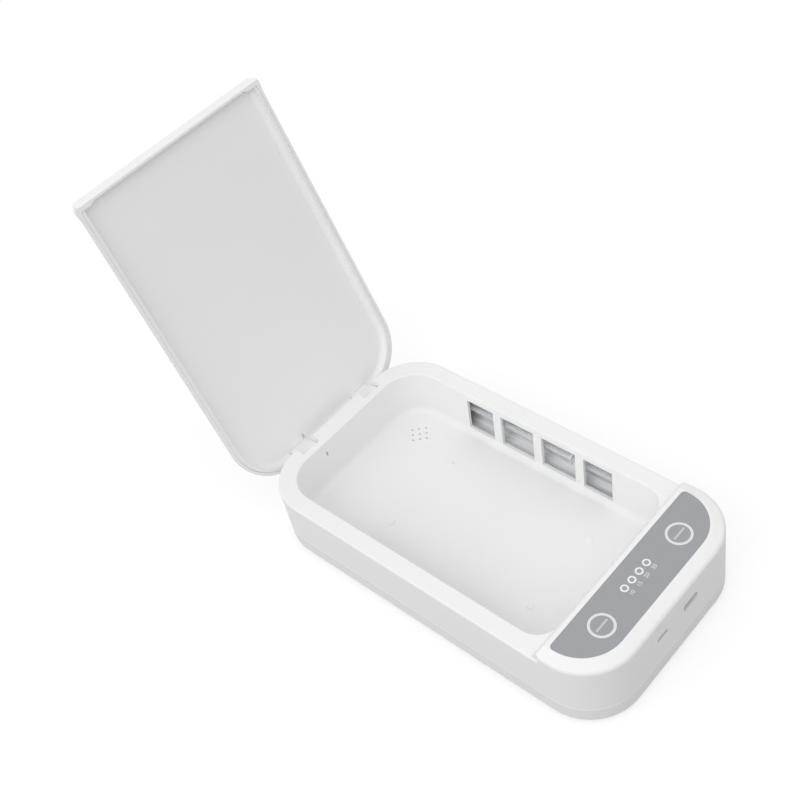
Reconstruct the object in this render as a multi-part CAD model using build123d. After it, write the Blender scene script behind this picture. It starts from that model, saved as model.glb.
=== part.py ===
from build123d import *
from math import atan2, cos, degrees, pi, radians, sin, tan
import os

os.makedirs("parts", exist_ok=True)

# Phone sanitizer box, lid open. Millimetres. +Z up, +Y towards the hinges, +X to the right as seen
# from the control end. The origin is the centre of the base, on the plane that the feet stand on.

# ---- outside of the base ----
WIDTH = 120.0
LENGTH = 218.0
CORNER_R = 28.0
FOOT_STAND = 1.0          # how far the feet stand out below the bottom cover
RIM_Z = 36.8              # height of the flat rim that the lid closes on
RIM_EDGE_R = 1.0          # rounding of the rim's outer edge
COVER_SIDE = 4.9          # height of the bottom cover's side
COVER_EDGE_R = 1.8        # rounding of the bottom cover's lower edge
FIT = 0.3                 # working gap between parts that move or drop in
CLOSE_FIT = 0.05          # gap between parts that locate each other
OVERLAP = 0.5             # how far joined features run into each other
SMALL_CHAMFER = 0.3       # broken edge of small moulded parts

# ---- housing walls ----
WALL = 2.2                # outer walls
RIM_DECK = 2.2            # thickness under the rim
PANEL_DECK = 2.2          # thickness under the control panel

# ---- tray ----
RIM_SIDE = 9.7            # width of the rim beside the tray
RIM_BACK = 9.9            # width of the rim behind the tray
CONTROL_LENGTH = 37.9     # from the front of the base to the tray
TRAY_DEPTH = 27.8
TRAY_DRAFT = 3.55         # degrees
TRAY_R_BACK = 19.0
TRAY_R_FRONT = 11.5
TRAY_WALL = 1.8
TRAY_FLOOR = 2.0
TRAY_FLOOR_R = 4.0
TRAY_CHAMFER = 0.5        # broken edge round the tray's mouth
REST_R = 2.0              # low round rests on the floor
REST_H = 0.6
REST_EDGE = 0.4
REST_SIDE = 25.9          # rests in from the tray's sides
REST_FRONT = 30.2         # and from its two ends
REST_BACK = 47.9

# ---- lamp windows, in both long walls of the tray ----
WINDOW_TOP = 4.4          # below the rim
WINDOW_H = 20.4
WINDOW_END_W = 17.8
WINDOW_MID_W = 21.6
WINDOW_PILLAR = 5.3
WINDOWS_AHEAD = 4.6       # middle of the row ahead of the tray's middle

# ---- raised control end ----
PANEL_RISE = 6.1          # top of the panel above the rim
CROWN_EDGE = 4.3          # height of the crown's outer edge above the rim
CROWN_RUN = 6.0           # width of the sloping band round the panel
CROWN_R = 2.5
RAMP_RUN = 3.9            # horizontal length of the ramp behind the panel
RAMP_MARGIN = 1.0         # flat ledge left outside the ramp at each side
RIDGE_R = 0.8

# ---- control label, buttons and indicators ----
LABEL_SINK = 0.2          # label face below the panel
LABEL_T = 0.4
LABEL_BACK = 6.3          # label in from the tray
LABEL_FRONT = 7.3         # from the front of the base
LABEL_SIDE = 6.5          # and from its sides
LABEL_CURVES = (0.897, 0.09)  # front and back corner radii, as parts of the label's depth
LABEL_GAP = 0.1
BUTTON_IN = 22.75         # from the label's side
BUTTON_AHEAD = 0.25       # ahead of the label's middle
BUTTON_R = 6.65
BUTTON_FACE_R = 5.3
BUTTON_FACE_T = 0.3
BUTTON_TRAVEL = 0.4
BUTTON_GAP = 0.1
BUTTON_FLANGE_R = 7.6
BUTTON_FLANGE_T = 0.8
BUTTON_STEM_R = 2.2
LED_PITCH = 5.8
LED_BEHIND = 2.9          # behind the label's middle
LED_R = 2.1
LED_WINDOW_R = 1.22
LED_COUNT = 4
PIPE_BAR_T = 1.8
PIPE_BAR_W = 5.0
PIPE_LEG_R = 1.5

# ---- control board ----
BOARD_TOP = 5.5           # board's upper face below the rim
BOARD_T = 1.6
BOARD_PAST = 10.25        # board's side past a button's middle
BOARD_FRONT = 4.6         # in from the front of the base
BOARD_BACK = 7.4          # in from the tray
BOARD_CORNER_R = 5.0
BOARD_POST_SHARE = (0.6, 0.33)  # parts of the way out to a button, and of the label's depth
BOARD_POST_R = 2.6
SWITCH_BODY = 6.0
SWITCH_H = 3.5
SWITCH_CORNER_R = 0.5
PLUNGER_R = 1.7
PLUNGER_TOP = 7.0         # above the board
PLUNGER_SEAT = 0.6        # how deep the plunger stands in the switch
LED_CHIP = (3.5, 2.8, 1.9)

# ---- sockets in the front wall ----
POWER_X = 10.3
POWER_MOUTH = (11.2, 4.4)
POWER_SHELL = (8.94, 3.26, 7.4)
SMALL_X = -12.4
SMALL_MOUTH = (7.9, 2.9)
SMALL_SHELL = (7.5, 2.5, 5.6)
SOCKET_SINK = 1.4         # socket's mouth behind the front face
SOCKET_SHELL_T = 0.3
SOCKET_PLUG_T = 1.5       # closed back of a socket
TONGUE_W = 0.72           # of the shell's width
TONGUE_SINK = 0.9
POWER_TONGUE_T = 0.7
SMALL_TONGUE_T = 0.5
MOUTH_FLAT = 0.2          # straight part left at a mouth's ends

# ---- lamps ----
LAMP_R = 1.6
LAMP_HALF_L = 57.0
LAMP_OUT = 3.9            # tube's middle outside the tray's mouth
LAMP_BELOW_RIM = 14.4
HOLDER_L = 6.0
HOLDER_H = 8.0
HOLDER_GRIP = 4.5         # length of tube inside a holder
HOLDER_EDGE_R = 1.2
LAMP_TIP = 1.0            # taper of the tube's sealed ends
REFLECTOR_T = 0.4
REFLECTOR_H = 23.6
REFLECTOR_R = 5.0
REFLECTOR_SHORT = 5.0     # trough ends short of the tube's ends
CLIP_AHEAD = 18.8         # clip ahead of the windows' middle
CLIP_T = 1.4
CLIP_WALL = 0.9
CLIP_BACK = 1.3           # thickness of the crescent at its middle
CLIP_DEPTH = 4.0          # how far the crescent's tips reach

# ---- lamp driver ----
DRIVER_SIDE = 20.0        # board in from the sides of the base
DRIVER_DEPTH = 24.0
DRIVER_CORNER_R = 2.0
DRIVER_STANDOFF = 4.3
DRIVER_POST_IN = 5.0
DRIVER_POST_DY = 8.5
TRANSFORMER = (16.0, 13.0, 10.5)
TRANSFORMER_X = 20.5
CORE_DEPTH = 7.8
CORE_WINDOW = (9.9, 5.8)
CORE_LIMB = (6.5, 2.1)
COIL = (9.6, 5.5)
COIL_R = 1.0
CAPACITOR_R = 3.2
CAPACITOR_H = 9.0
CAPACITOR_EDGE = 0.6
CAPACITOR_PITCH = 8.0
LEAD_R = 0.7
LEAD_BEND_R = 2.0
LEAD_PAD_IN = (11.0, 14.0)  # solder pads of the front and back leads, from the board's side
LEAD_PAD_EDGE = 2.0       # pads in from the board's back edge
LEAD_RISE = (4.0, 7.0)    # height that each lead rises above the board
LEAD_WALL_GAP = 2.6       # lead's centre in from the wall
LEAD_LOOP = 7.0           # run beyond a holder before a lead turns in
LEAD_RUN = 6.0
LEAD_FACETS = 8           # ribbed insulation, eight flats round the wire

# ---- scent holes ----
SCENT_SIDE = 19.1         # in from the tray's side
SCENT_BACK = 19.5         # and from its back
SCENT_PITCH = 3.86
SCENT_TURN = 45           # degrees
SCENT_HOLE_R = 0.55
SCENT_CUP_R = 9.5
SCENT_CUP_H = 3.4
SCENT_CUP_WALL = 1.0
SCENT_PAD_T = 2.0

# ---- lid sensor ----
SENSOR_X = -18.7
SENSOR_MID = 8.1          # below the rim
SENSOR_SLOT = (0.8, 3.2)
SENSOR_DEPTH = 2.2
SENSOR_BODY = 1.0         # depth of the sensor's body

# ---- bottom cover, screws and feet ----
COVER_WALL = 2.0
COVER_FLOOR = 2.0
LIP_T = 1.2
LIP_H = 1.8
LIP_GAP = 0.15
BOSS_R = 3.0
SCREW_R = 1.2             # core that the boss's bore is sized to
SCREW_GAP = 0.05
SCREW_L = 10.0
SCREW_HEAD_R = 2.7
SCREW_HEAD_H = 1.6
SCREW_PASS_R = 1.6
PAN_HEAD_R = 2.1
SCREW_SINK = 0.3          # tip of a driver screw above the cover's floor
FOOT_R = 6.0
FOOT_SEAT = 0.8
FOOT_SIDE = 20.0
FOOT_END = 23.0

# ---- lid ----
LID_OPEN = 111.0          # degrees from closed to the open stop
LID_GAP = 0.4             # closed lid above the rim
LID_TOP = 6.1             # outside of the closed lid above the rim
LID_WALL = 1.6
LID_SKIN = 1.4
LID_OVERLAP = 2.1         # lid's free end past the tray
LID_END_WALL = 3.6
LID_END_STEP = 1.2        # extra thickness of the end wall at its corners
LID_STEP_IN = (10.5, 8.0) # where that step starts and ends, from the side
LID_CORNER_R = 4.5        # free corners in plan
LID_TOP_R = 4.8           # rounding of the top at the sides and the back
LID_END_R = 2.0           # rounding of the top at the free end
EAR_OUT = 0.6             # finger ears at the free corners
EAR_BACK = 2.7            # an ear's middle behind the free end
EAR_CHORD = 11.0
EAR_TOP = 3.0             # top of an ear above the rim
LINER_GAP = 0.15
LINER_SKIN = 0.8
LINER_RIM = 1.85
LINER_SINK = 0.2          # liner's rim above the shell's edge
LINER_R = 3.1
MAGNET = (2.4, 0.8, 0.7)  # along the lid, across it and through it
MAGNET_X = -18.0
MAGNET_BACK = 7.6         # in from the back of the base
MAGNET_GAP = 0.1
LATCH_SIDE = 7.0
LATCH_FRONT = 41.2        # behind the free end
LATCH_BACK = 46.2         # in from the back
LATCH_R = 0.5

# ---- hinges ----
HINGE_X = 24.3
HINGE_BACK = 3.0          # pin axis in from the back
HINGE_DROP = 6.1          # pin axis below the rim
HINGE_ARM_W = 11.4
KNUCKLE_R = 3.0
PIN_R = 1.25
PIN_GAP = 0.05
HINGE_EAR = 3.0           # housing ear at each side of an arm
POCKET_SILL = 10.8        # sill of the hinge pocket below the rim

# ---- worked out ----
HALF_W = WIDTH / 2
FRONT_Y = -LENGTH / 2
BACK_Y = LENGTH / 2
TRAY_HALF_W = HALF_W - RIM_SIDE
TRAY_FRONT_Y = FRONT_Y + CONTROL_LENGTH
TRAY_BACK_Y = BACK_Y - RIM_BACK
REST_X = TRAY_HALF_W - REST_SIDE
REST_Y = (TRAY_FRONT_Y + REST_FRONT, TRAY_BACK_Y - REST_BACK)
WINDOWS_MID_Y = (TRAY_FRONT_Y + TRAY_BACK_Y) / 2 - WINDOWS_AHEAD
LABEL_BACK_Y = TRAY_FRONT_Y - LABEL_BACK
LABEL_FRONT_Y = FRONT_Y + LABEL_FRONT
LABEL_MID_Y = (LABEL_BACK_Y + LABEL_FRONT_Y) / 2
LABEL_HALF_W = HALF_W - LABEL_SIDE
LABEL_R_FRONT, LABEL_R_BACK = [part * (LABEL_BACK_Y - LABEL_FRONT_Y) for part in LABEL_CURVES]
BUTTON_X = LABEL_HALF_W - BUTTON_IN
BUTTON_Y = LABEL_MID_Y - BUTTON_AHEAD
LED_Y = LABEL_MID_Y + LED_BEHIND
BOARD_HALF_W = BUTTON_X + BOARD_PAST
BOARD_FRONT_Y = FRONT_Y + BOARD_FRONT
BOARD_BACK_Y = TRAY_FRONT_Y - BOARD_BACK
BOARD_POST_X = BOARD_POST_SHARE[0] * BUTTON_X
BOARD_POST_DY = BOARD_POST_SHARE[1] * (LABEL_BACK_Y - LABEL_FRONT_Y)
BOARD_POST_Y = (LABEL_MID_Y - BOARD_POST_DY, LABEL_MID_Y + BOARD_POST_DY)
LAMP_X = TRAY_HALF_W + LAMP_OUT
REFLECTOR_HALF_L = LAMP_HALF_L - REFLECTOR_SHORT
CLIP_Y = WINDOWS_MID_Y - CLIP_AHEAD
DRIVER_HALF_W = HALF_W - DRIVER_SIDE
DRIVER_MID_Y = LABEL_MID_Y
DRIVER_POST_X = DRIVER_HALF_W - DRIVER_POST_IN
LEAD_PAD_X = [DRIVER_HALF_W - pad for pad in LEAD_PAD_IN]
SCENT_X = TRAY_HALF_W - SCENT_SIDE
SCENT_Y = TRAY_BACK_Y - SCENT_BACK
FOOT_X = HALF_W - FOOT_SIDE
FOOT_Y = BACK_Y - FOOT_END
LID_FREE_Y = TRAY_FRONT_Y - LID_OVERLAP
LID_STEP_X = [HALF_W - step for step in LID_STEP_IN]
EAR_Y = LID_FREE_Y + EAR_BACK
MAGNET_Y = BACK_Y - MAGNET_BACK
LATCH_X = HALF_W - LATCH_SIDE
LATCH_Y = (LID_FREE_Y + LATCH_FRONT, BACK_Y - LATCH_BACK)
HINGE_Y = BACK_Y - HINGE_BACK
COVER_Z = FOOT_STAND
SEAM_Z = COVER_Z + COVER_SIDE
COVER_TOP = COVER_Z + COVER_FLOOR
DECK_Z = RIM_Z - RIM_DECK
TRAY_Z = RIM_Z - TRAY_DEPTH
TRAY_UNDER_Z = TRAY_Z - TRAY_FLOOR
PANEL_Z = RIM_Z + PANEL_RISE
PANEL_UNDER_Z = PANEL_Z - PANEL_DECK
RAMP_TOP_Y = TRAY_FRONT_Y - RAMP_RUN
LABEL_Z = PANEL_Z - LABEL_SINK
RECESS_Z = LABEL_Z - LABEL_T
BOARD_Z = RIM_Z - BOARD_TOP
BOARD_UNDER_Z = BOARD_Z - BOARD_T
PLUNGER_TOP_Z = BOARD_Z + PLUNGER_TOP
LED_CHIP_TOP_Z = BOARD_Z + LED_CHIP[2]
LAMP_Z = RIM_Z - LAMP_BELOW_RIM
REFLECTOR_X = HALF_W - WALL - FIT
REFLECTOR_MID_Z = RIM_Z - WINDOW_TOP - WINDOW_H / 2
DRIVER_Z = COVER_TOP + DRIVER_STANDOFF
DRIVER_TOP_Z = DRIVER_Z + BOARD_T
HINGE_Z = RIM_Z - HINGE_DROP
SOCKET_Y = FRONT_Y + SOCKET_SINK
POWER_Z = BOARD_UNDER_Z - POWER_SHELL[1] / 2
SMALL_Z = BOARD_UNDER_Z - SMALL_SHELL[1] / 2
CORNER_CENTRE_X = HALF_W - CORNER_R
CORNER_CENTRE_Y = BACK_Y - CORNER_R
BOSS_REACH = (CORNER_R - COVER_WALL - FIT - BOSS_R) * cos(radians(45))
BOSS_X = CORNER_CENTRE_X + BOSS_REACH
BOSS_Y = CORNER_CENTRE_Y + BOSS_REACH
BOSSES = [(sx * BOSS_X, sy * BOSS_Y) for sx in (-1, 1) for sy in (-1, 1)]
SIDES = (("left", -1), ("right", 1))
BIG = 400.0


def outline(half_w, front_y, back_y, r_front, r_back):
    """A rectangle in plan with its own corner radius at each end."""
    face = Pos(0, (front_y + back_y) / 2) * Rectangle(2 * half_w, back_y - front_y)
    face = fillet(face.vertices().group_by(Axis.Y)[-1], r_back)
    return fillet(face.vertices().group_by(Axis.Y)[0], r_front)


def body_outline(inset=0.0):
    """The base's outline in plan, moved in by an inset."""
    r = CORNER_R - inset
    return outline(HALF_W - inset, FRONT_Y + inset, BACK_Y - inset, r, r)


def tray_outline(grow, depth):
    """The tray's outline at a depth below the rim, grown outwards."""
    step = grow - depth * tan(radians(TRAY_DRAFT))
    return outline(TRAY_HALF_W + step, TRAY_FRONT_Y - step, TRAY_BACK_Y + step,
                   TRAY_R_FRONT + step, TRAY_R_BACK + step)


def prism(face, z0, z1):
    """A flat face in plan raised from z0 to z1."""
    return Pos(0, 0, z0) * extrude(face, amount=z1 - z0)


def column(x, y, r, z0, z1):
    """A round post."""
    return Pos(x, y, z0) * extrude(Circle(r), amount=z1 - z0)


def block(x0, x1, y0, y1, z0, z1):
    """A box between two corners."""
    return Pos((x0 + x1) / 2, (y0 + y1) / 2, (z0 + z1) / 2) * Box(x1 - x0, y1 - y0, z1 - z0)


def side_profile(points, half_w):
    """A profile drawn in Y and Z, raised to both sides of the middle plane."""
    face = make_face(Polyline(*points, close=True))
    return extrude(Plane.YZ * face, amount=half_w, both=True)


def rod_x(y, z, r, x0, x1):
    """A round bar along X."""
    return Pos(x0, y, z) * extrude(Plane.YZ * Circle(r), amount=x1 - x0)


def rod_y(x, z, r, y0, y1):
    """A round bar along Y."""
    return Pos(x, y1, z) * extrude(Plane.XZ * Circle(r), amount=y1 - y0)


def edges_at(shape, z, tolerance=0.01):
    """The edges that lie wholly at one height."""
    return [e for e in shape.edges()
            if abs(e.bounding_box().min.Z - z) < tolerance and abs(e.bounding_box().max.Z - z) < tolerance]


def opened(piece):
    """A piece drawn with the lid closed, turned to the open stop."""
    axis = Axis((0, HINGE_Y, HINGE_Z), (1, 0, 0))
    return piece.rotate(axis, -LID_OPEN)


# ---------------------------------------------------------------- housing


def control_end():
    """The raised end: vertical sides, a crowned top and a ramp down to the tray."""
    low = RIM_Z - 2 * RIM_EDGE_R
    lower = prism(body_outline(), low, RIM_Z + CROWN_EDGE)
    foot, top = body_outline(), body_outline(CROWN_RUN)
    crown = loft([Pos(0, 0, RIM_Z + CROWN_EDGE) * foot, Pos(0, 0, PANEL_Z) * top], ruled=True)
    raised = lower + crown
    raised = fillet(edges_at(raised, RIM_Z + CROWN_EDGE), CROWN_R)
    ramp = [(TRAY_FRONT_Y, low), (TRAY_FRONT_Y, RIM_Z), (RAMP_TOP_Y, PANEL_Z), (FRONT_Y - 1, PANEL_Z),
            (FRONT_Y - 1, low)]
    step = [(RAMP_TOP_Y, low), (RAMP_TOP_Y, PANEL_Z), (FRONT_Y - 1, PANEL_Z), (FRONT_Y - 1, low)]
    keep = side_profile(ramp, HALF_W - RAMP_MARGIN) + side_profile(step, HALF_W + 1)
    raised &= keep
    ridge = [e for e in raised.edges().filter_by_position(Axis.Y, RAMP_TOP_Y - OVERLAP, RAMP_TOP_Y + OVERLAP)
             if e.center().Z > RIM_Z + PANEL_RISE / 2]
    return fillet(ridge, RIDGE_R)


def tray_space():
    """The drafted space of the tray, with its rounded floor."""
    mouth, floor = tray_outline(0, 0), tray_outline(0, TRAY_DEPTH)
    space = loft([Pos(0, 0, RIM_Z) * mouth, Pos(0, 0, TRAY_Z) * floor], ruled=True)
    space = fillet(edges_at(space, TRAY_Z), TRAY_FLOOR_R)
    c = TRAY_CHAMFER
    low, high = tray_outline(0, c), tray_outline(2 * c, 0)
    return space + loft([Pos(0, 0, RIM_Z - c) * low, Pos(0, 0, RIM_Z + c) * high], ruled=True)


def tray_walls(grow):
    """The tray's outside, grown from its space, from the rim down to the floor's underside."""
    depth = TRAY_DEPTH + TRAY_FLOOR
    mouth, floor = tray_outline(grow, 0), tray_outline(grow, depth)
    return loft([Pos(0, 0, RIM_Z) * mouth, Pos(0, 0, RIM_Z - depth) * floor], ruled=True)


def windows():
    """Cutters for the four windows in each long wall."""
    widths = (WINDOW_END_W, WINDOW_MID_W, WINDOW_MID_W, WINDOW_END_W)
    y = WINDOWS_MID_Y - (sum(widths) + 3 * WINDOW_PILLAR) / 2
    top = RIM_Z - WINDOW_TOP
    cutters = []
    for width in widths:
        for _, side in SIDES:
            x0, x1 = sorted((side * (TRAY_HALF_W - 3 * TRAY_WALL), side * (TRAY_HALF_W + 2 * TRAY_WALL)))
            cutters.append(block(x0, x1, y, y + width, top - WINDOW_H, top))
        y += width + WINDOW_PILLAR
    return cutters


def hinge_blocks():
    """The thick places of the back wall that carry the hinge pins."""
    half = HINGE_ARM_W / 2 + FIT + HINGE_EAR
    low = RIM_Z - POCKET_SILL - WALL
    return [block(side * HINGE_X - half, side * HINGE_X + half, TRAY_BACK_Y, BACK_Y - WALL / 2, low, RIM_Z)
            for _, side in SIDES]


def hinge_pockets():
    """Cutters for the hinge pockets, open at the top and the back, with their pin bores."""
    half = HINGE_ARM_W / 2 + FIT
    front = HINGE_Y - KNUCKLE_R - 2 * FIT
    cutters = []
    for _, side in SIDES:
        x = side * HINGE_X
        cutters.append(block(x - half, x + half, front, BACK_Y + 1, RIM_Z - POCKET_SILL, RIM_Z + 1))
        reach = half + HINGE_EAR - 2 * FIT
        cutters.append(rod_x(HINGE_Y, HINGE_Z, PIN_R, x - reach, x + reach))
    return cutters


def scent_holes():
    """Cutters for the nine scent holes, a square grid turned by 45 degrees."""
    grid = GridLocations(SCENT_PITCH, SCENT_PITCH, 3, 3)
    turn = Pos(SCENT_X, SCENT_Y, TRAY_UNDER_Z - 1) * Rot(0, 0, SCENT_TURN)
    return [turn * place * extrude(Circle(SCENT_HOLE_R), amount=TRAY_FLOOR + 2) for place in grid]


def socket_mouths():
    """Cutters for the two rounded openings in the front wall."""
    cutters = []
    for x, z, (w, h) in ((POWER_X, POWER_Z, POWER_MOUTH), (SMALL_X, SMALL_Z, SMALL_MOUTH)):
        mouth = extrude(Plane.XZ * RectangleRounded(w, h, h / 2 - MOUTH_FLAT), amount=WALL + 2)
        cutters.append(Pos(x, FRONT_Y + WALL + 1, z) * mouth)
    return cutters


def board_posts():
    """Posts under the panel that the control board screws up to."""
    return [(sx * BOARD_POST_X, y) for sx in (-1, 1) for y in BOARD_POST_Y]


def build_main_housing():
    """Upper housing: outer walls, rim, tray, raised control end, bosses and hinge pockets."""
    shell = prism(body_outline(), SEAM_Z, RIM_Z)
    shell = fillet(edges_at(shell, RIM_Z), RIM_EDGE_R)
    shell += control_end()

    hollow = prism(body_outline(WALL), COVER_Z, DECK_Z)
    panel_inset = WALL + RIM_DECK
    panel_hollow = prism(body_outline(panel_inset), DECK_Z - 1, PANEL_UNDER_Z)
    hollow += panel_hollow & block(-BIG, BIG, FRONT_Y, RAMP_TOP_Y - WALL, 0, BIG)
    kept = [tray_walls(TRAY_WALL)]
    kept += [column(x, y, BOSS_R, COVER_TOP, PANEL_Z) for x, y in BOSSES]
    kept += [column(x, y, BOARD_POST_R, BOARD_Z, PANEL_Z) for x, y in board_posts()]
    kept += hinge_blocks()
    for piece in kept:
        hollow -= piece
    shell -= hollow
    for x, y in BOSSES:
        shell += column(x, y, BOSS_R, COVER_TOP, SEAM_Z + 1)

    shell -= tray_space()
    for cutter in windows() + hinge_pockets() + scent_holes() + socket_mouths():
        shell -= cutter
    rest = column(0, 0, REST_R, TRAY_Z - REST_H, TRAY_Z + REST_H)
    rest = chamfer(rest.edges().group_by(Axis.Z)[-1], REST_EDGE)
    for x in (-REST_X, REST_X):
        for y in REST_Y:
            shell += Pos(x, y, 0) * rest

    recess = outline(LABEL_HALF_W + LABEL_GAP, LABEL_FRONT_Y - LABEL_GAP, LABEL_BACK_Y + LABEL_GAP,
                     LABEL_R_FRONT + LABEL_GAP, LABEL_R_BACK)
    shell -= prism(recess, RECESS_Z, PANEL_Z + 1)
    for _, side in SIDES:
        shell -= column(side * BUTTON_X, BUTTON_Y, BUTTON_R + BUTTON_GAP, PANEL_UNDER_Z - 1, PANEL_Z)
    for x in led_places():
        shell -= column(x, LED_Y, LED_R + LABEL_GAP, PANEL_UNDER_Z - 1, PANEL_Z)
    for x, y in BOSSES:
        shell -= column(x, y, SCREW_R, COVER_TOP - 1, COVER_TOP + SCREW_L)
    for x, y in board_posts():
        shell -= column(x, y, SCREW_R, BOARD_Z - 1, BOARD_Z + SCREW_L / 2)
    w, h = SENSOR_SLOT
    shell -= block(SENSOR_X - w / 2, SENSOR_X + w / 2, TRAY_BACK_Y - 2, TRAY_BACK_Y + SENSOR_DEPTH,
                   RIM_Z - SENSOR_MID - h / 2, RIM_Z - SENSOR_MID + h / 2)
    return shell


def led_places():
    """X of each indicator, evenly spaced about the middle."""
    return [(i - (LED_COUNT - 1) / 2) * LED_PITCH for i in range(LED_COUNT)]


# ---------------------------------------------------------------- bottom cover


def build_bottom_cover():
    """Shallow cover with a rounded lower edge, a locating lip, board posts and seats for the feet."""
    cover = prism(body_outline(), COVER_Z, SEAM_Z)
    cover = fillet(edges_at(cover, COVER_Z), COVER_EDGE_R)
    cover -= prism(body_outline(COVER_WALL), COVER_TOP, SEAM_Z + 1)
    lip_inset = WALL + LIP_GAP
    lip = prism(body_outline(lip_inset), COVER_TOP - OVERLAP, SEAM_Z + LIP_H)
    lip -= prism(body_outline(lip_inset + LIP_T), COVER_TOP - 1, SEAM_Z + LIP_H + 1)
    for x, y in BOSSES:
        lip -= column(x, y, BOSS_R + FIT, COVER_TOP, BIG)
    cover += lip
    for x, y in driver_posts():
        cover += column(x, y, BOARD_POST_R, COVER_TOP - OVERLAP, DRIVER_Z)
        cover -= column(x, y, SCREW_R, COVER_TOP, DRIVER_Z + 1)
    for x, y in BOSSES:
        cover -= column(x, y, SCREW_PASS_R, COVER_Z - 1, COVER_TOP + 1)
        cover -= Pos(x, y, COVER_Z + SCREW_HEAD_H / 2) * Cone(SCREW_HEAD_R, SCREW_PASS_R, SCREW_HEAD_H)
    for x, y in foot_places():
        cover -= column(x, y, FOOT_R, COVER_Z - 1, COVER_Z + FOOT_SEAT)
    return cover


def foot_places():
    """The four feet."""
    return [(sx * FOOT_X, sy * FOOT_Y) for sx in (-1, 1) for sy in (-1, 1)]


def driver_posts():
    """Posts on the bottom cover that carry the lamp driver board."""
    return [(sx * DRIVER_POST_X, DRIVER_MID_Y + sy * DRIVER_POST_DY) for sx in (-1, 1) for sy in (-1, 1)]


def build_rubber_feet():
    """Round feet, seated in the cover and rounded at the ground edge."""
    foot = column(0, 0, FOOT_R, 0, COVER_Z + FOOT_SEAT)
    foot = chamfer(foot.edges().group_by(Axis.Z)[0], FOOT_STAND / 2)
    return [Pos(x, y, 0) * foot for x, y in foot_places()]


def screw(head_z, tip_z, countersunk):
    """A screw on the Z axis with its head at head_z and its tip at tip_z."""
    up = 1 if tip_z > head_z else -1
    z0, z1 = sorted((head_z, tip_z))
    shank = column(0, 0, SCREW_R - SCREW_GAP, z0, z1)
    if countersunk:
        cone = Cone(SCREW_HEAD_R - SCREW_GAP, SCREW_R, SCREW_HEAD_H)
        head = Pos(0, 0, head_z + up * SCREW_HEAD_H / 2) * cone
    else:
        h0, h1 = sorted((head_z, head_z - up * SCREW_HEAD_H))
        head = column(0, 0, PAN_HEAD_R, h0, h1)
    return shank + head


def build_cover_screws():
    """Countersunk screws from below, through the cover into the housing's bosses."""
    one = screw(COVER_Z, COVER_TOP + SCREW_L - 1, True)
    return [Pos(x, y, 0) * one for x, y in BOSSES]


def build_board_screws():
    """Pan-head screws that hold the control board from below and the driver board from above."""
    under = screw(BOARD_UNDER_Z, BOARD_Z + SCREW_L / 2 - 1, False)
    over = screw(DRIVER_TOP_Z, COVER_TOP + SCREW_SINK, False)
    group = [Pos(x, y, 0) * under for x, y in board_posts()]
    return group + [Pos(x, y, 0) * over for x, y in driver_posts()]


# ---------------------------------------------------------------- control panel


def build_control_label():
    """D-shaped overlay with holes for the buttons and indicators."""
    face = outline(LABEL_HALF_W, LABEL_FRONT_Y, LABEL_BACK_Y, LABEL_R_FRONT, LABEL_R_BACK)
    label = prism(face, RECESS_Z, LABEL_Z)
    for _, side in SIDES:
        label -= column(side * BUTTON_X, BUTTON_Y, BUTTON_R + BUTTON_GAP, RECESS_Z - 1, LABEL_Z + 1)
    for x in led_places():
        label -= column(x, LED_Y, LED_R + CLOSE_FIT, RECESS_Z - 1, LABEL_Z + 1)
    return label


def build_light_pipe():
    """One clear-white moulding: a bar under the panel with four guides from the lamps to the label."""
    half = (LED_COUNT - 1) / 2 * LED_PITCH + LED_R
    bar = RectangleRounded(2 * half + 1, PIPE_BAR_W, PIPE_BAR_W / 3)
    pipe = Pos(0, LED_Y, PANEL_UNDER_Z - PIPE_BAR_T) * extrude(bar, amount=PIPE_BAR_T)
    for x in led_places():
        pipe += column(x, LED_Y, PIPE_LEG_R, LED_CHIP_TOP_Z + CLOSE_FIT, PANEL_UNDER_Z - 1)
        pipe += column(x, LED_Y, LED_R, PANEL_UNDER_Z - 1, LABEL_Z)
        pipe -= column(x, LED_Y, LED_WINDOW_R, LABEL_Z - BUTTON_FACE_T, LABEL_Z + 1)
    return pipe


def build_indicator_windows():
    """Smoked discs set into the tops of the light guides."""
    disc = column(0, LED_Y, LED_WINDOW_R, LABEL_Z - BUTTON_FACE_T, LABEL_Z)
    return [Pos(x, 0, 0) * disc for x in led_places()]


def build_button_cap(side):
    """Round cap with a stop flange under the panel and a stem down to the switch."""
    x = side * BUTTON_X
    flange_top = PANEL_UNDER_Z - CLOSE_FIT
    cap = column(x, BUTTON_Y, BUTTON_R, flange_top - BUTTON_FLANGE_T, LABEL_Z)
    cap += column(x, BUTTON_Y, BUTTON_FLANGE_R, flange_top - BUTTON_FLANGE_T, flange_top)
    cap += column(x, BUTTON_Y, BUTTON_STEM_R, PLUNGER_TOP_Z, flange_top - BUTTON_FLANGE_T)
    return cap - column(x, BUTTON_Y, BUTTON_FACE_R, LABEL_Z - BUTTON_FACE_T, LABEL_Z + 1)


def build_button_face(side):
    """Grey disc inlaid in a button cap."""
    return column(side * BUTTON_X, BUTTON_Y, BUTTON_FACE_R, LABEL_Z - BUTTON_FACE_T, LABEL_Z)


def build_switch_plunger(side):
    """Plunger of a tactile switch, pushed by the button's stem."""
    low = BOARD_Z + SWITCH_H - PLUNGER_SEAT
    return column(side * BUTTON_X, BUTTON_Y, PLUNGER_R, low, PLUNGER_TOP_Z)


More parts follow.
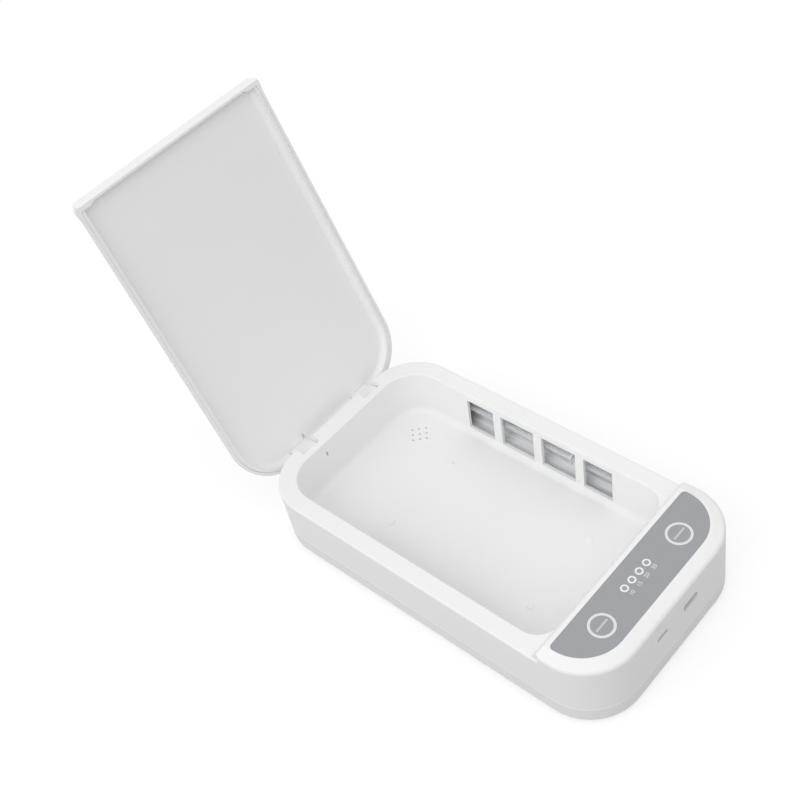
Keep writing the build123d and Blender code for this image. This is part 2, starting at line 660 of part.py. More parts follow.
def build_switch_bodies():
    """Square switch bodies on the board, each with a well for its plunger."""
    well_r = PLUNGER_R + 2 * CLOSE_FIT
    well_z = BOARD_Z + SWITCH_H - PLUNGER_SEAT - BUTTON_TRAVEL - FIT
    base = RectangleRounded(SWITCH_BODY, SWITCH_BODY, SWITCH_CORNER_R)
    body = Pos(0, 0, BOARD_Z) * extrude(base, amount=SWITCH_H)
    body = chamfer(body.edges().group_by(Axis.Z)[-1], SMALL_CHAMFER)
    body -= column(0, 0, well_r, well_z, BIG)
    return [Pos(side * BUTTON_X, BUTTON_Y, 0) * body for _, side in SIDES]


def build_control_board():
    """Printed board with screw holes and rounded corners."""
    face = outline(BOARD_HALF_W, BOARD_FRONT_Y, BOARD_BACK_Y, 2 * BOARD_CORNER_R, BOARD_CORNER_R)
    board = prism(face, BOARD_UNDER_Z, BOARD_Z)
    for x, y in board_posts():
        board -= column(x, y, SCREW_PASS_R, BOARD_UNDER_Z - 1, BOARD_Z + 1)
    return board


def build_indicator_leds():
    """Surface-mount lamps under the light guides."""
    w, d, h = LED_CHIP
    chip = Pos(0, LED_Y, BOARD_Z) * extrude(Rectangle(w, d), amount=h)
    chip = chamfer(chip.edges().group_by(Axis.Z)[-1], SMALL_CHAMFER)
    return [Pos(x, 0, 0) * chip for x in led_places()]


def socket(x, z, size, tongue_t):
    """Receptacle with a rolled metal shell, a back plug and a contact tongue, open to the front."""
    w, h, depth = size
    t = SOCKET_SHELL_T
    r = h / 2 - t
    outer = extrude(Plane.XZ * RectangleRounded(w, h, r), amount=-depth)
    inner = extrude(Plane.XZ * RectangleRounded(w - 2 * t, h - 2 * t, r - t), amount=SOCKET_PLUG_T - depth)
    tongue = extrude(Plane.XZ * Rectangle(TONGUE_W * w, tongue_t), amount=-depth)
    tongue = Pos(0, TONGUE_SINK, 0) * tongue
    return Pos(x, SOCKET_Y, z) * (outer - inner + (tongue & outer))


# ---------------------------------------------------------------- lamps


def build_reflector(side):
    """Rolled bright trough behind a lamp, open towards the tray's windows."""
    y0 = WINDOWS_MID_Y - REFLECTOR_HALF_L
    depth = 2 * (REFLECTOR_X - TRAY_HALF_W)
    ring = RectangleRounded(depth, REFLECTOR_H, REFLECTOR_R)
    t = REFLECTOR_T
    ring -= RectangleRounded(depth - 2 * t, REFLECTOR_H - 2 * t, REFLECTOR_R - t)
    trough = extrude(Plane.XZ * ring, amount=-2 * REFLECTOR_HALF_L)
    trough = Pos(REFLECTOR_X - depth / 2, y0, REFLECTOR_MID_Z) * trough
    trough -= tray_walls(TRAY_WALL + FIT)
    return trough if side > 0 else mirror(trough, Plane.YZ)


def build_lamp(side):
    """Thin quartz tube with tapered, sealed ends."""
    y0 = WINDOWS_MID_Y - LAMP_HALF_L
    y1 = WINDOWS_MID_Y + LAMP_HALF_L
    tube = rod_y(side * LAMP_X, LAMP_Z, LAMP_R, y0, y1)
    return chamfer(tube.edges().filter_by(GeomType.CIRCLE), LAMP_TIP)


def build_lamp_holders():
    """Soft end blocks that grip the tubes, against the housing wall."""
    blocks = []
    inner = TRAY_HALF_W + TRAY_WALL + FIT
    for _, side in SIDES:
        x0, x1 = sorted((side * inner, side * (HALF_W - WALL - LIP_GAP)))
        for end in (-1, 1):
            tip = WINDOWS_MID_Y + end * LAMP_HALF_L
            y0, y1 = sorted((tip - end * HOLDER_GRIP, tip + end * (HOLDER_L - HOLDER_GRIP)))
            body = block(x0, x1, y0, y1, LAMP_Z - HOLDER_H / 2, LAMP_Z + HOLDER_H / 2)
            body = fillet(body.edges().filter_by(Axis.Y), HOLDER_EDGE_R)
            b0, b1 = sorted((tip - end * 2 * HOLDER_GRIP, tip))
            bore = rod_y(side * LAMP_X, LAMP_Z, LAMP_R + CLOSE_FIT, b0, b1)
            blocks.append(body - bore)
    return blocks


def build_lamp_clips():
    """Crescent supports that stand in the troughs and hold the tubes at mid-length."""
    r_in = LAMP_R + CLOSE_FIT
    back = REFLECTOR_X - REFLECTOR_T - CLOSE_FIT
    half_h = REFLECTOR_H / 2 - REFLECTOR_T - CLOSE_FIT
    depth = 2 * (back - TRAY_HALF_W)
    rib = RectangleRounded(depth, 2 * half_h, REFLECTOR_R - REFLECTOR_T)
    rib = Pos(back - depth / 2, REFLECTOR_MID_Z) * rib
    bite = Pos(back - 2 * half_h, REFLECTOR_MID_Z) * Circle(2 * half_h - CLIP_BACK)
    crescent = (rib - bite) & (Pos(back, REFLECTOR_MID_Z) * Rectangle(CLIP_DEPTH, BIG))
    hook = Pos(LAMP_X, LAMP_Z) * Circle(r_in + CLIP_WALL)
    stem = Pos((LAMP_X + back) / 2, LAMP_Z) * Rectangle(back - LAMP_X, 2 * CLIP_WALL)
    shape = crescent + hook + stem
    shape -= Pos(LAMP_X, LAMP_Z) * Circle(r_in)
    mouth = Pos(LAMP_X - r_in - CLIP_WALL, LAMP_Z) * Rectangle(2 * r_in, LAMP_R + CLIP_WALL)
    shape -= mouth
    clip = Pos(0, CLIP_Y + CLIP_T / 2, 0) * extrude(Plane.XZ * shape, amount=CLIP_T)
    return [clip, mirror(clip, Plane.YZ)]


def build_driver_board():
    """Lamp driver board on the bottom cover's posts."""
    plan = Pos(0, DRIVER_MID_Y) * RectangleRounded(2 * DRIVER_HALF_W, DRIVER_DEPTH, DRIVER_CORNER_R)
    board = prism(plan, DRIVER_Z, DRIVER_TOP_Z)
    for x, y in driver_posts():
        board -= column(x, y, SCREW_PASS_R, DRIVER_Z - 1, DRIVER_TOP_Z + 1)
    return board


def build_transformers():
    """Step-up transformers: a core with a wound bobbin through it."""
    w, d, h = TRANSFORMER
    mid = Pos(0, 0, h / 2)
    core = mid * Box(w, CORE_DEPTH, h)
    core -= mid * Box(CORE_WINDOW[0], d, CORE_WINDOW[1])
    core += mid * Box(CORE_WINDOW[0], CORE_LIMB[0], CORE_LIMB[1])
    coil = Pos(0, d / 2, h / 2) * extrude(Plane.XZ * RectangleRounded(*COIL, COIL_R), amount=d)
    part = core + coil
    return [Pos(side * TRANSFORMER_X, DRIVER_MID_Y, DRIVER_TOP_Z) * part for _, side in SIDES]


def build_capacitors():
    """Three round capacitors with a turned-in top edge."""
    can = column(0, 0, CAPACITOR_R, 0, CAPACITOR_H)
    can = chamfer(can.edges().group_by(Axis.Z)[-1], CAPACITOR_EDGE)
    return [Pos((i - 1) * CAPACITOR_PITCH, DRIVER_MID_Y, DRIVER_TOP_Z) * can for i in range(3)]


def build_lamp_leads():
    """Insulated wires from the driver board to both ends of each lamp."""
    leads = []
    start_y = DRIVER_MID_Y + DRIVER_DEPTH / 2 - LEAD_PAD_EDGE
    wire_x = HALF_W - WALL - LEAD_WALL_GAP
    low_z = REFLECTOR_MID_Z - REFLECTOR_H / 2 - LEAD_BEND_R
    bend_y = start_y + 3 * LEAD_RUN
    for _, side in SIDES:
        for end, pad_x, rise in zip((-1, 1), LEAD_PAD_X, LEAD_RISE):
            holder_y = WINDOWS_MID_Y + end * (LAMP_HALF_L + HOLDER_L - HOLDER_GRIP)
            far = holder_y + end * LEAD_LOOP
            top = DRIVER_TOP_Z + rise
            points = [(pad_x, start_y, DRIVER_TOP_Z), (pad_x, start_y, top)]
            points += [(wire_x - LEAD_BEND_R, start_y + LEAD_RUN, top)]
            if end > 0:
                points += [(wire_x, bend_y, low_z), (wire_x, far, low_z), (LAMP_X, far, LAMP_Z)]
            else:
                points += [(LAMP_X, far - LEAD_RUN, LAMP_Z)]
            points += [(LAMP_X, holder_y, LAMP_Z)]
            points = [(side * x, y, z) for x, y, z in points]
            path = FilletPolyline(*points, radius=LEAD_BEND_R)
            section = Plane(origin=path @ 0, z_dir=path % 0) * RegularPolygon(LEAD_R, LEAD_FACETS)
            leads.append(sweep(section, path=path))
    return leads


# ---------------------------------------------------------------- scent cup and lid sensor


def build_scent_cup():
    """Shallow cup under the scent holes."""
    cup = column(SCENT_X, SCENT_Y, SCENT_CUP_R, TRAY_UNDER_Z - SCENT_CUP_H, TRAY_UNDER_Z)
    inner_r = SCENT_CUP_R - SCENT_CUP_WALL
    floor = TRAY_UNDER_Z - SCENT_CUP_H + SCENT_CUP_WALL
    return cup - column(SCENT_X, SCENT_Y, inner_r, floor, TRAY_UNDER_Z + 1)


def build_scent_pad():
    """Absorbent felt disc in the scent cup."""
    low = TRAY_UNDER_Z - SCENT_CUP_H + SCENT_CUP_WALL
    return column(SCENT_X, SCENT_Y, SCENT_CUP_R - SCENT_CUP_WALL - FIT, low, low + SCENT_PAD_T)


def build_lid_sensor():
    """Magnetic sensor in its slot in the tray's back wall."""
    w, h = SENSOR_SLOT
    half_w, half_h = w / 2 - CLOSE_FIT, h / 2 - CLOSE_FIT
    y1 = TRAY_BACK_Y + SENSOR_DEPTH
    z = RIM_Z - SENSOR_MID
    return block(SENSOR_X - half_w, SENSOR_X + half_w, y1 - SENSOR_BODY, y1, z - half_h, z + half_h)


# ---------------------------------------------------------------- lid, drawn closed and turned open


def lid_outline(inset, end_inset):
    """The lid's outline in plan out to its ears, moved in at the sides and at the free end."""
    out = EAR_OUT - inset
    return outline(HALF_W + out, LID_FREE_Y + end_inset, BACK_Y + out, LID_CORNER_R, CORNER_R + out)


def lid_form(inset, end_inset, low, top, edge_r):
    """A slab of the lid's outline, moved in, with its top rounded at the sides and the back."""
    plan = Rectangle(WIDTH - 2 * inset, LENGTH - 2 * inset)
    plan = fillet(plan.vertices().group_by(Axis.Y)[-1], CORNER_R - inset)
    form = prism(plan, low, top)
    form = fillet([e for e in edges_at(form, top) if e.center().Y > FRONT_Y + CORNER_R], edge_r)
    return form & prism(lid_outline(inset, end_inset), low, top)


def hinge_arm(side):
    """Arm from the lid's back edge down to the knuckle on its pin."""
    half = HINGE_ARM_W / 2
    y0, y1 = HINGE_Y - KNUCKLE_R, HINGE_Y + KNUCKLE_R
    arm = block(-half, half, y0, y1, HINGE_Z, RIM_Z + LID_TOP - LID_SKIN)
    arm += rod_x(HINGE_Y, HINGE_Z, KNUCKLE_R, -half, half)
    arm -= rod_x(HINGE_Y, HINGE_Z, PIN_R + PIN_GAP, -half - 1, half + 1)
    return Pos(side * HINGE_X, 0, 0) * arm


def lid_end_corner(side, grow):
    """Plan of the thicker corner of the free end's wall, grown towards the hinges."""
    y0 = LID_FREE_Y + LID_END_R
    y1 = LID_FREE_Y + LID_END_WALL
    x1, x2 = LID_STEP_X
    points = [(x1 - grow, y0), (x1 - grow, y1), (x2 - grow, y1 + LID_END_STEP + grow)]
    points += [(HALF_W + 1, y1 + LID_END_STEP + grow), (HALF_W + 1, y0)]
    return make_face(Polyline(*[(side * x, y) for x, y in points], close=True))


def finger_ear(side):
    """Low lens-shaped swelling at a free corner of the lid."""
    half = EAR_CHORD / 2
    r = (half ** 2 + EAR_OUT ** 2) / (2 * EAR_OUT)
    low, top = RIM_Z + LID_GAP, RIM_Z + EAR_TOP
    ear = column(side * (HALF_W + EAR_OUT - r), EAR_Y, r, low, top)
    ear = chamfer(ear.edges().group_by(Axis.Z)[-1], EAR_OUT)
    near, far = sorted((side * (HALF_W - LID_WALL / 2), side * (HALF_W + EAR_OUT)))
    return ear & block(near, far, LID_FREE_Y, EAR_Y + half, low, top) & prism(lid_outline(0, 0), low, top)


def build_lid_shell():
    """Outer shell of the lid with its skirt, finger ears and hinge arms."""
    low, top = RIM_Z + LID_GAP, RIM_Z + LID_TOP
    under = top - LID_SKIN
    form = lid_form(0, 0, low, top, LID_TOP_R)
    end = Pos(LID_FREE_Y + BIG / 2, (low + top) / 2) * Rectangle(BIG, top - low)
    end = fillet(end.vertices().group_by(Axis.X)[0].sort_by(Axis.Y)[-1], LID_END_R)
    form &= extrude(Plane.YZ * end, amount=WIDTH, both=True)
    shell = form - lid_form(LID_WALL, LID_END_WALL, low - 1, under, LID_TOP_R - LID_WALL)
    for _, side in SIDES:
        shell += prism(lid_end_corner(side, 0), low, under + LID_SKIN / 2) & form
        shell += finger_ear(side)
        shell += hinge_arm(side)
    foot_y = TRAY_FRONT_Y + 2 * FIT
    run = RAMP_RUN / PANEL_RISE
    bevel = [(foot_y + run, RIM_Z - 1), (foot_y - RAMP_RUN, PANEL_Z)]
    bevel += [(FRONT_Y, PANEL_Z), (FRONT_Y, RIM_Z - 1)]
    shell -= side_profile(bevel, HALF_W - RAMP_MARGIN + FIT)
    return shell


def build_lid_liner():
    """Inner liner: a dished panel whose rim sits inside the shell's skirt."""
    low = RIM_Z + LID_GAP + LINER_SINK
    top = RIM_Z + LID_TOP - LID_SKIN
    floor = top - LINER_SKIN
    inset = LID_WALL + LINER_GAP
    end_inset = LID_END_WALL + LINER_GAP
    liner = lid_form(inset, end_inset, low, top, LID_TOP_R - inset)
    liner -= lid_form(inset + LINER_RIM, end_inset - LINER_GAP, low - 3, floor, LINER_R)
    for _, side in SIDES:
        liner -= prism(lid_end_corner(side, LINER_GAP), low - 1, top + 1)
        arm_half = HINGE_ARM_W / 2 + LINER_GAP
        x = side * HINGE_X
        liner -= block(x - arm_half, x + arm_half, HINGE_Y - KNUCKLE_R - LINER_GAP, BACK_Y, low - 1, top + 1)
        for y in LATCH_Y:
            liner -= column(side * LATCH_X, y, LATCH_R, low - 3, floor + LINER_SKIN / 2)
    return liner - magnet_block(MAGNET_GAP)


def magnet_block(grow):
    """The magnet, or its pocket in the liner when grown."""
    length, width, height = MAGNET
    half_w, half_l = width / 2 + grow, length / 2 + grow
    under = RIM_Z + LID_TOP - LID_SKIN
    return block(MAGNET_X - half_w, MAGNET_X + half_w, MAGNET_Y - half_l, MAGNET_Y + half_l,
                 under - height - 3 * grow, under)


def build_lid_magnet():
    """Small magnet that works the lid sensor when the lid is shut."""
    return magnet_block(0)


def build_hinge_pins():
    """Steel pins held in the housing's ears."""
    reach = HINGE_ARM_W / 2 + FIT + HINGE_EAR - 2 * FIT
    pin = rod_x(HINGE_Y, HINGE_Z, PIN_R, -reach, reach)
    return [Pos(side * HINGE_X, 0, 0) * pin for _, side in SIDES]


# ---------------------------------------------------------------- write the parts


def save(name, shape):
    """Write one node, a solid or a group of solids."""
    solids = shape if isinstance(shape, list) else [shape]
    part = Compound(children=[s for item in solids for s in item.solids()])
    export_step(part, f"parts/{name}.step")


save("main_housing", build_main_housing())
save("bottom_cover", build_bottom_cover())
save("rubber_feet", build_rubber_feet())
save("cover_screws", build_cover_screws())
save("board_screws", build_board_screws())
save("control_label", build_control_label())
save("light_pipe", build_light_pipe())
save("indicator_windows", build_indicator_windows())
save("control_board", build_control_board())
save("switch_bodies", build_switch_bodies())
save("indicator_leds", build_indicator_leds())
save("usb_c_socket", socket(POWER_X, POWER_Z, POWER_SHELL, POWER_TONGUE_T))
save("micro_usb_socket", socket(SMALL_X, SMALL_Z, SMALL_SHELL, SMALL_TONGUE_T))
save("lamp_driver_board", build_driver_board())
save("driver_transformers", build_transformers())
save("driver_capacitors", build_capacitors())
save("lamp_leads", build_lamp_leads())
save("lamp_holders", build_lamp_holders())
save("lamp_clips", build_lamp_clips())
save("aroma_cup", build_scent_cup())
save("aroma_pad", build_scent_pad())
save("lid_sensor", build_lid_sensor())
save("hinge_pins", build_hinge_pins())
for name, side in SIDES:
    save(f"button_cap_{name}", build_button_cap(side))
    save(f"button_face_{name}", build_button_face(side))
    save(f"switch_plunger_{name}", build_switch_plunger(side))
    save(f"uv_lamp_{name}", build_lamp(side))
    save(f"reflector_{name}", build_reflector(side))
save("lid_shell", opened(build_lid_shell()))
save("lid_liner", opened(build_lid_liner()))
save("lid_magnet", opened(build_lid_magnet()))
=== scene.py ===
import math

import bmesh
import bpy
from mathutils import Matrix, Vector


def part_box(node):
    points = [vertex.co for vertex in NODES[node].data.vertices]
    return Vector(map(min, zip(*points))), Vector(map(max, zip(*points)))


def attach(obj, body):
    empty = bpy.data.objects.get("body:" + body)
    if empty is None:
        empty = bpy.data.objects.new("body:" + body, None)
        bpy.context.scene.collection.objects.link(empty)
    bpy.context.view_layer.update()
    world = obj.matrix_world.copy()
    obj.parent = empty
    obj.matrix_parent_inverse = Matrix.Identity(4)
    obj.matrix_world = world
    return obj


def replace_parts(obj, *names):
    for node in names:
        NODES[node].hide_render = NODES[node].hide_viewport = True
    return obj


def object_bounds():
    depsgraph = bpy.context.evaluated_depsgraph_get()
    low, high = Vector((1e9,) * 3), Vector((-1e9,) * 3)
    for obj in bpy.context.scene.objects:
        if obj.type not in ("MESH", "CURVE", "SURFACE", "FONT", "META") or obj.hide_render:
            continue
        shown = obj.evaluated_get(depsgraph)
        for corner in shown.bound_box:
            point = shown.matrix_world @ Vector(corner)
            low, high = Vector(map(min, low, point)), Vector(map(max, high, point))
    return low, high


bl_info = {
    "name": "Phone Sanitizer Box Looks",
    "version": (1, 0, 0),
    "blender": (4, 5, 0),
    "location": "3D View > Sidebar > Sanitizer Box",
    "description": "Finishes, printed marks and studio for a hinged phone sanitizer box",
    "category": "Object",
}

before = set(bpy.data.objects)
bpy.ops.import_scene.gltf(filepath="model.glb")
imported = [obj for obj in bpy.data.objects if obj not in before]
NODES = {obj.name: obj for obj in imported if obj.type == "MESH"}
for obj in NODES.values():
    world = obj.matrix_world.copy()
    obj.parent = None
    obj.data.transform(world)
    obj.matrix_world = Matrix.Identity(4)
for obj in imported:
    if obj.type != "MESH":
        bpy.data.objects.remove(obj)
CAD_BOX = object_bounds()
MM = 0.001
X, Y, Z = 0, 1, 2            # the axes that a metal's streaks can run along

CORNER_R = 28 * MM           # the box's rounded corners in plan, and their centres
CORNER_X = 32 * MM
CORNER_Y = 81 * MM
SKIN_T = 0.4 * MM            # how far below the outer walls a surface still counts as outer skin
SEAM_HIGHLIGHT_Z = 10.7 * MM        # a painted highlight on the seam of housing and cover, with painted shade below it, as high as the seam shows on the real box
# the width of the painted highlight along the seam
SEAM_HIGHLIGHT_W = 0.5 * MM
FLOW_SIZE = 45 * MM          # the broad, faint drift of tone in a large moulding

INK_T = 0.03 * MM            # a printed layer, drawn thick enough to stand clear of its film
FIGURES = ("10", "15", "20", "30")
FIGURE_BOLD = 0.04 * MM      # added all round a figure's strokes
FIGURE_STEPS = 4             # divisions of a curve in a figure
CAP_SHARE = 0.7              # a figure's height as part of the text size
NUMBER_GAP = 3.0 * MM        # from the indicators to the middle of the figures
BAR_STEPS = 8                # divisions of a bar's round end

SCREW_HEAD_R = 2.65 * MM
SCREW_HEAD_H = 1.6 * MM
SCREW_SHANK_R = 1.15 * MM
SCREW_STEPS = 32
CROSS_REACH = 1.5 * MM       # from the middle of the head to the end of an arm
CROSS_HALF_W = 0.3 * MM
CROSS_DEPTH = 1.0 * MM
CROSS_TAPER = 0.55           # its floor's size as part of its mouth's

FLOOR_HALF = 4.0             # metres from the middle of the floor to its edges
FLOOR_GAP = 0.0002           # floor below the feet, so that the two never share a plane
FLOOR_GLOW = 0.64            # what the eye sees of the paper beyond the light that falls on it
PLAIN_FROM = 0.3             # metres from the middle where the floor starts to turn plain white
PLAIN_TO = 0.8               # and where it has
SOFTBOX_SIZE = 2.0           # metres, as the places are
SIDE_PLACE = (-1.6, 0.1, 1.1)
FRONT_PLACE = (-0.3, -0.75, 1.8)
BACK_PLACE = (0.7, 1.3, 1.0)
CAMERA_PLACE = (-0.275484, -0.298334, 0.529292)
CAMERA_FORWARD = (0.43697, 0.55241, -0.70986)
CAMERA_UP = (0.61770, 0.38938, 0.68325)
NEAR_CLIP = 0.01
SENSOR_W = 36.0              # millimetres, as the lens is


# ---------------------------------------------------------------- helpers


def linear(hex_colour):
    """An sRGB hex colour as the linear red, green and blue that shaders take."""
    channels = [int(hex_colour[i:i + 2], 16) / 255 for i in (1, 3, 5)]
    return [c / 12.92 if c <= 0.04045 else ((c + 0.055) / 1.055) ** 2.4 for c in channels]


def add(tree, kind, inputs=None, **settings):
    """Add a node: settings are its properties, inputs are values or the sockets that feed it."""
    made = tree.nodes.new("ShaderNode" + kind)
    for name, value in settings.items():
        setattr(made, name, value)
    for name, value in (inputs or {}).items():
        if isinstance(value, bpy.types.NodeSocket):
            tree.links.new(value, made.inputs[name])
        else:
            made.inputs[name].default_value = value
    return made


def new_material(name):
    """An empty node material, and the position that every pattern is laid out in."""
    material = bpy.data.materials.new(name)
    material.use_nodes = True
    tree = material.node_tree
    tree.nodes.clear()
    place = add(tree, "TexCoord")
    return material, tree, place.outputs["Object"]


def rgba(colour, times=1.0):
    """A linear colour, made darker or lighter by a factor, with full alpha."""
    return (*(min(1.0, channel * times) for channel in colour[:3]), 1.0)


def seen_directly(tree):
    """1 for the camera and for what metal and glass show of the background, else 0."""
    path = add(tree, "LightPath")
    through = add(tree, "Math", {0: path.outputs["Is Glossy Ray"], 1: path.outputs["Is Transmission Ray"]},
                  operation="MAXIMUM")
    seen = add(tree, "Math", {0: path.outputs["Is Camera Ray"], 1: through.outputs["Value"]},
               operation="MAXIMUM")
    return seen.outputs["Value"]


def dress(names, material):
    """Give CAD nodes a finish through their objects' own material slots."""
    for name in names:
        obj = NODES[name]
        if not obj.material_slots:
            raise RuntimeError(f"{name} has no material slot")
        for slot in obj.material_slots:
            slot.link = "OBJECT"
            slot.material = material


def new_piece(name, data, material, body):
    """A new mesh or text piece in a finish, which rides on a body."""
    obj = bpy.data.objects.new(name, data)
    bpy.context.scene.collection.objects.link(obj)
    data.materials.append(material)
    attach(obj, body)
    return obj


# ---------------------------------------------------------------- finishes


def paint_seam_highlight_and_shade(tree, place, tone):
    """The tone of the outer skin: a painted highlight along the seam of housing and cover, and painted shade
    on the cover below it.
    """
    reach = add(tree, "VectorMath", {0: place}, operation="ABSOLUTE")
    corner = add(tree, "VectorMath", {0: reach.outputs["Vector"], 1: (CORNER_X, CORNER_Y, 1.0)},
                 operation="SUBTRACT")
    out = add(tree, "VectorMath", {0: corner.outputs["Vector"], 1: (0, 0, 0)}, operation="MAXIMUM")
    radius = add(tree, "VectorMath", {0: out.outputs["Vector"]}, operation="LENGTH")
    skin = add(tree, "Math", {0: radius.outputs["Value"], 1: CORNER_R - SKIN_T}, operation="GREATER_THAN")
    height = add(tree, "SeparateXYZ", {"Vector": place})
    line = add(tree, "Math", {0: height.outputs["Z"], 1: SEAM_HIGHLIGHT_Z, 2: SEAM_HIGHLIGHT_W / 2}, operation="COMPARE")
    below = add(tree, "Math", {0: height.outputs["Z"], 1: SEAM_HIGHLIGHT_Z}, operation="LESS_THAN")
    # Painted shade on the skin below the seam, then a painted highlight along the seam.
    for mask, shade in ((below, "#E9E9E9"), (line, "#FFFFFF")):
        where = add(tree, "Math", {0: mask.outputs["Value"], 1: skin.outputs["Value"]}, operation="MULTIPLY")
        tone = add(tree, "MixRGB", {"Fac": where.outputs["Value"], "Color1": tone.outputs["Color"],
                                    "Color2": rgba(linear(shade))})
    return tone


def moulded_plastic(name, colour, grain_mm, rough, parted=False):
    """ABS or nylon moulding, spark-eroded or polished: an even tone whose pits soften every highlight."""
    material, tree, place = new_material(name)
    # The pits are 0.12 mm on the real mouldings and drawn coarser so that they show in the render.
    pits = add(tree, "TexNoise", {"Vector": place, "Scale": 1 / (grain_mm * MM), "Detail": 3.0,
                                  "Roughness": 0.6})
    flow = add(tree, "TexNoise", {"Vector": place, "Scale": 1 / FLOW_SIZE, "Detail": 2.0})
    tone = add(tree, "MixRGB", {"Fac": flow.outputs["Fac"], "Color1": rgba(colour, 0.985),
                                "Color2": rgba(colour, 1.012)})
    # The housing and cover take painted shade below the seam and a painted highlight along it.
    if parted:
        tone = paint_seam_highlight_and_shade(tree, place, tone)
    sheen = add(tree, "MapRange", {"Value": pits.outputs["Fac"], "From Min": 0.3, "From Max": 0.7,
                                   "To Min": rough - 0.06, "To Max": rough + 0.06})
    bump = add(tree, "Bump", {"Height": pits.outputs["Fac"], "Strength": 0.12, "Distance": 0.05 * MM})
    shader = add(tree, "BsdfPrincipled", {"Base Color": tone.outputs["Color"],
                                          "Roughness": sheen.outputs["Result"],
                                          "Normal": bump.outputs["Normal"], "IOR": 1.52})
    shader.inputs["Specular IOR Level"].default_value = 0.4
    add(tree, "OutputMaterial", {"Surface": shader.outputs["BSDF"]})
    return material


def plastic_film(name, colour, rough):
    """Printed film, tape, sleeve or smoked disc: one flat colour that a fine texture keeps from shining."""
    material, tree, place = new_material(name)
    # The texture is 0.05 mm on the real label and drawn coarser so that it shows in the render.
    texture = add(tree, "TexNoise", {"Vector": place, "Scale": 1 / (0.35 * MM), "Detail": 2.0})
    ink = add(tree, "TexNoise", {"Vector": place, "Scale": 1 / (6 * MM), "Detail": 3.0})
    tone = add(tree, "MixRGB", {"Fac": ink.outputs["Fac"], "Color1": rgba(colour, 0.97),
                                "Color2": rgba(colour, 1.03)})
    sheen = add(tree, "MapRange", {"Value": texture.outputs["Fac"], "From Min": 0.3, "From Max": 0.7,
                                   "To Min": rough - 0.05, "To Max": rough + 0.05})
    bump = add(tree, "Bump", {"Height": texture.outputs["Fac"], "Strength": 0.08, "Distance": 0.03 * MM})
    shader = add(tree, "BsdfPrincipled", {"Base Color": tone.outputs["Color"],
                                          "Roughness": sheen.outputs["Result"],
                                          "Normal": bump.outputs["Normal"], "IOR": 1.58})
    add(tree, "OutputMaterial", {"Surface": shader.outputs["BSDF"]})
    return material


def rolled_metal(name, colour, rough, along, streak_mm, contrast=0.12):
    """Rolled, ground or stamped metal: fine streaks along its working, which blur what it reflects."""
    material, tree, place = new_material(name)
    # Streaks are a few hundredths of a millimetre wide on real metal and drawn coarser so that they show.
    stretch = [1 / (streak_mm * MM)] * 3
    stretch[along] = 1 / (60 * streak_mm * MM)
    laid = add(tree, "Mapping", {"Vector": place, "Scale": stretch})
    streaks = add(tree, "TexNoise", {"Vector": laid.outputs["Vector"], "Scale": 1.0, "Detail": 4.0,
                                     "Roughness": 0.65})
    fac = add(tree, "MapRange", {"Value": streaks.outputs["Fac"], "From Min": 0.3, "From Max": 0.7})
    tone = add(tree, "MixRGB", {"Fac": fac.outputs["Result"], "Color1": rgba(colour, 1 - contrast),
                                "Color2": rgba(colour, 1 + contrast)})
    sheen = add(tree, "MapRange", {"Value": fac.outputs["Result"], "To Min": rough - 0.08,
                                   "To Max": rough + 0.10})
    bump = add(tree, "Bump", {"Height": streaks.outputs["Fac"], "Strength": 0.15, "Distance": 0.02 * MM})
    shader = add(tree, "BsdfPrincipled", {"Base Color": tone.outputs["Color"],
                                          "Roughness": sheen.outputs["Result"],
                                          "Normal": bump.outputs["Normal"], "Metallic": 1.0})
    add(tree, "OutputMaterial", {"Surface": shader.outputs["BSDF"]})
    return material


def fused_quartz(name):
    """Fused quartz tube, lightly etched: whitish in soft light, with faint draw lines along it."""
    material, tree, place = new_material(name)
    # Draw lines are about 0.2 mm wide on a real tube and drawn coarser so that they show.
    laid = add(tree, "Mapping", {"Vector": place, "Scale": (1 / (0.6 * MM), 1 / (40 * MM), 1 / (0.6 * MM))})
    draw = add(tree, "TexNoise", {"Vector": laid.outputs["Vector"], "Scale": 1.0, "Detail": 2.0})
    sheen = add(tree, "MapRange", {"Value": draw.outputs["Fac"], "To Min": 0.22, "To Max": 0.36})
    bump = add(tree, "Bump", {"Height": draw.outputs["Fac"], "Strength": 0.1, "Distance": 0.02 * MM})
    shader = add(tree, "BsdfPrincipled", {"Base Color": rgba(linear("#F1F4F6")),
                                          "Roughness": sheen.outputs["Result"],
                                          "Normal": bump.outputs["Normal"], "IOR": 1.46})
    shader.inputs["Transmission Weight"].default_value = 0.55
    add(tree, "OutputMaterial", {"Surface": shader.outputs["BSDF"]})
    return material


def milky_resin(name, colour):
    """Milky moulded resin, as in a light guide: smooth and pale, and lets some light into its edge."""
    material, tree, place = new_material(name)
    cloud = add(tree, "TexNoise", {"Vector": place, "Scale": 1 / (2.5 * MM), "Detail": 2.0})
    tone = add(tree, "MixRGB", {"Fac": cloud.outputs["Fac"], "Color1": rgba(colour, 0.97),
                                "Color2": rgba(colour)})
    sheen = add(tree, "MapRange", {"Value": cloud.outputs["Fac"], "To Min": 0.22, "To Max": 0.34})
    shader = add(tree, "BsdfPrincipled", {"Base Color": tone.outputs["Color"],
                                          "Roughness": sheen.outputs["Result"], "IOR": 1.58})
    shader.inputs["Subsurface Weight"].default_value = 0.15
    shader.inputs["Subsurface Radius"].default_value = (1.0, 1.0, 1.0)
    shader.inputs["Subsurface Scale"].default_value = 1.0 * MM
    add(tree, "OutputMaterial", {"Surface": shader.outputs["BSDF"]})
    return material


